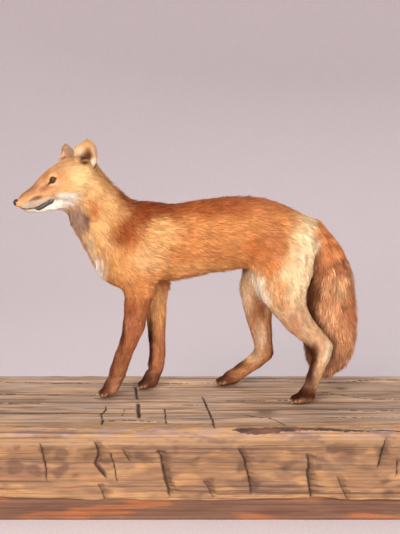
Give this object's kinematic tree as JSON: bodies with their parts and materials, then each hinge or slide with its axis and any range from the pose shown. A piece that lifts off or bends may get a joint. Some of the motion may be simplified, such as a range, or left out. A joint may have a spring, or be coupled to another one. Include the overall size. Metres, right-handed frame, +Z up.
{
  "type": "taxidermy fox",
  "caption": "Mounted red fox standing in profile with its head turned slightly, tail down, on a length of hewn timber.",
  "frame": {"origin": "middle of the timber's underside", "axes": "+Z up, -X the way the fox faces, -Y the fox's left side and the timber's hewn front"},
  "size_m": [0.98, 0.343, 0.713],
  "materials": {
    "coat": "fur",
    "coat_pale": "short pale fur",
    "coat_dark": "short dark fur",
    "coat_tail": "long fur",
    "nose": "satin black skin",
    "eye": "polished",
    "claw": "horn",
    "timber": "hewn and weathered"
  },
  "bodies": {
    "root": {"head": "coat", "lower_jaw": "coat_pale", "nose": "nose", "eye_left": "eye", "eye_right": "eye", "ear_left": "coat", "ear_right": "coat", "neck": "coat", "trunk": "coat", "tail_root": "coat_tail", "tail_brush": "coat_tail", "foreleg_left": "coat_dark", "forepaw_left": "coat_dark", "thigh_left": "coat", "shank_left": "coat", "hindpaw_left": "coat_dark", "foreleg_right": "coat_dark", "forepaw_right": "coat_dark", "thigh_right": "coat", "shank_right": "coat", "hindpaw_right": "coat_dark", "base_timber": "timber"}
  },
  "joints": []
}
